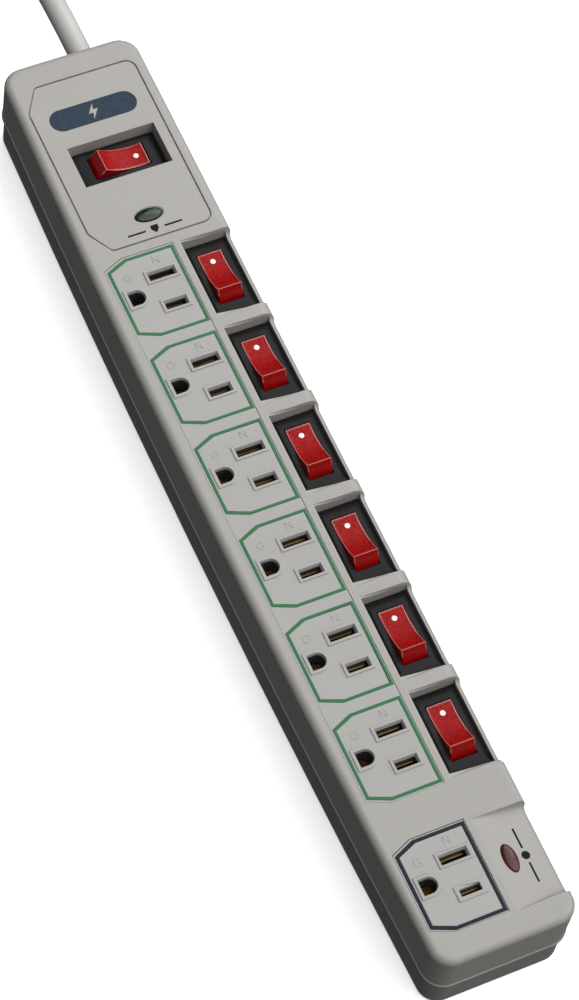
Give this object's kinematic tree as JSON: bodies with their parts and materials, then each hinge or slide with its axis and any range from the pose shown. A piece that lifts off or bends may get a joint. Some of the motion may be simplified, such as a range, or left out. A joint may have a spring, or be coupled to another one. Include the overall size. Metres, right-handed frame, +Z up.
{
  "type": "power strip",
  "caption": "Grey surge-protected power strip with a row of outlets, rocker switches in sloping side bays, and a cord with plug.",
  "frame": {"origin": "on the floor under the middle of the housing's length and width", "axes": "+X along the strip away from the cord end, +Y towards the row of side switches, +Z up from the floor to the outlet face"},
  "size_m": [0.6264, 0.1039, 0.0419],
  "materials": {
    "cover_plastic": "matte",
    "base_plastic": "matte",
    "insert_plastic": "satin",
    "green_line": "satin",
    "blue_line": "satin",
    "green_lens": "gloss",
    "red_lens": "gloss",
    "lamp_clear": "gloss",
    "contact_brass": "satin",
    "tray_plastic": "matte",
    "board": "satin",
    "varistor_blue": "satin",
    "fuse_metal": "satin",
    "wire_black": "matte",
    "wire_white": "matte",
    "wire_green": "matte",
    "screw_steel": "satin",
    "label": "matte",
    "switch_black": "satin",
    "rocker_red": "gloss",
    "lever_copper": "satin",
    "cord_sheath": "matte",
    "tie_black": "matte",
    "blade_plate": "satin"
  },
  "bodies": {
    "housing": {"top_cover": "cover_plastic", "base_shell": "base_plastic", "outlet_panel": "insert_plastic", "always_on_outlet": "insert_plastic", "switched_frames": "green_line", "always_on_frame": "blue_line", "protected_lens": "green_lens", "always_on_lens": "red_lens", "protected_led": "lamp_clear", "always_on_led": "lamp_clear", "neutral_bus": "contact_brass", "ground_bus": "contact_brass", "line_bus": "contact_brass", "switched_contacts": "contact_brass", "always_on_contact": "contact_brass", "contact_tray": "tray_plastic", "circuit_board": "board", "varistors": "varistor_blue", "thermal_fuse": "fuse_metal", "line_wire": "wire_black", "neutral_wire": "wire_white", "ground_wire": "wire_green", "cord_clamp": "tray_plastic", "clamp_screws": "screw_steel", "housing_screws": "screw_steel", "rating_label": "label", "switch_terminals": "contact_brass", "master_switch": "switch_black", "switch_1": "switch_black", "switch_2": "switch_black", "switch_3": "switch_black", "switch_4": "switch_black", "switch_5": "switch_black", "switch_6": "switch_black", "cord_tube": "cord_sheath", "cord_hank": "cord_sheath", "cord_ties": "tie_black", "plug_body": "cord_sheath", "plug_blades": "blade_plate", "plug_ground_pin": "blade_plate"},
    "master_rocker": {"master_rocker": "rocker_red"},
    "master_lever": {"master_lever": "lever_copper"},
    "rocker_1": {"rocker_1": "rocker_red"},
    "lever_1": {"lever_1": "lever_copper"},
    "rocker_2": {"rocker_2": "rocker_red"},
    "lever_2": {"lever_2": "lever_copper"},
    "rocker_3": {"rocker_3": "rocker_red"},
    "lever_3": {"lever_3": "lever_copper"},
    "rocker_4": {"rocker_4": "rocker_red"},
    "lever_4": {"lever_4": "lever_copper"},
    "rocker_5": {"rocker_5": "rocker_red"},
    "lever_5": {"lever_5": "lever_copper"},
    "rocker_6": {"rocker_6": "rocker_red"},
    "lever_6": {"lever_6": "lever_copper"}
  },
  "joints": [
    {"name": "master_rocker_hinge", "type": "hinge", "parent": "housing", "child": "master_rocker", "pos_m": [-0.137, 0.0026, 0.0282], "axis": [1, 0, 0], "range_deg": [0, 26]},
    {"name": "master_lever_hinge", "type": "hinge", "parent": "housing", "child": "master_lever", "pos_m": [-0.137, 0.0026, 0.0192], "axis": [1, 0, 0], "range_deg": [-15.6, 0]},
    {"name": "rocker_1_hinge", "type": "hinge", "parent": "housing", "child": "rocker_1", "pos_m": [-0.08, 0.0168, 0.0282], "axis": [0, 1, 0], "range_deg": [0, 26]},
    {"name": "lever_1_hinge", "type": "hinge", "parent": "housing", "child": "lever_1", "pos_m": [-0.08, 0.0168, 0.0192], "axis": [0, 1, 0], "range_deg": [-15.6, 0]},
    {"name": "rocker_2_hinge", "type": "hinge", "parent": "housing", "child": "rocker_2", "pos_m": [-0.0423, 0.0168, 0.0282], "axis": [0, 1, 0], "range_deg": [0, 26]},
    {"name": "lever_2_hinge", "type": "hinge", "parent": "housing", "child": "lever_2", "pos_m": [-0.0423, 0.0168, 0.0192], "axis": [0, 1, 0], "range_deg": [-15.6, 0]},
    {"name": "rocker_3_hinge", "type": "hinge", "parent": "housing", "child": "rocker_3", "pos_m": [-0.0046, 0.0168, 0.0282], "axis": [0, 1, 0], "range_deg": [0, 26]},
    {"name": "lever_3_hinge", "type": "hinge", "parent": "housing", "child": "lever_3", "pos_m": [-0.0046, 0.0168, 0.0192], "axis": [0, 1, 0], "range_deg": [-15.6, 0]},
    {"name": "rocker_4_hinge", "type": "hinge", "parent": "housing", "child": "rocker_4", "pos_m": [0.0331, 0.0168, 0.0282], "axis": [0, 1, 0], "range_deg": [0, 26]},
    {"name": "lever_4_hinge", "type": "hinge", "parent": "housing", "child": "lever_4", "pos_m": [0.0331, 0.0168, 0.0192], "axis": [0, 1, 0], "range_deg": [-15.6, 0]},
    {"name": "rocker_5_hinge", "type": "hinge", "parent": "housing", "child": "rocker_5", "pos_m": [0.0708, 0.0168, 0.0282], "axis": [0, 1, 0], "range_deg": [0, 26]},
    {"name": "lever_5_hinge", "type": "hinge", "parent": "housing", "child": "lever_5", "pos_m": [0.0708, 0.0168, 0.0192], "axis": [0, 1, 0], "range_deg": [-15.6, 0]},
    {"name": "rocker_6_hinge", "type": "hinge", "parent": "housing", "child": "rocker_6", "pos_m": [0.1085, 0.0168, 0.0282], "axis": [0, 1, 0], "range_deg": [0, 26]},
    {"name": "lever_6_hinge", "type": "hinge", "parent": "housing", "child": "lever_6", "pos_m": [0.1085, 0.0168, 0.0192], "axis": [0, 1, 0], "range_deg": [-15.6, 0]}
  ],
  "couplings": [
    {"joint": "master_lever_hinge", "follows": "master_rocker_hinge", "ratio": -0.6},
    {"joint": "lever_1_hinge", "follows": "rocker_1_hinge", "ratio": -0.6},
    {"joint": "lever_2_hinge", "follows": "rocker_2_hinge", "ratio": -0.6},
    {"joint": "lever_3_hinge", "follows": "rocker_3_hinge", "ratio": -0.6},
    {"joint": "lever_4_hinge", "follows": "rocker_4_hinge", "ratio": -0.6},
    {"joint": "lever_5_hinge", "follows": "rocker_5_hinge", "ratio": -0.6},
    {"joint": "lever_6_hinge", "follows": "rocker_6_hinge", "ratio": -0.6}
  ]
}
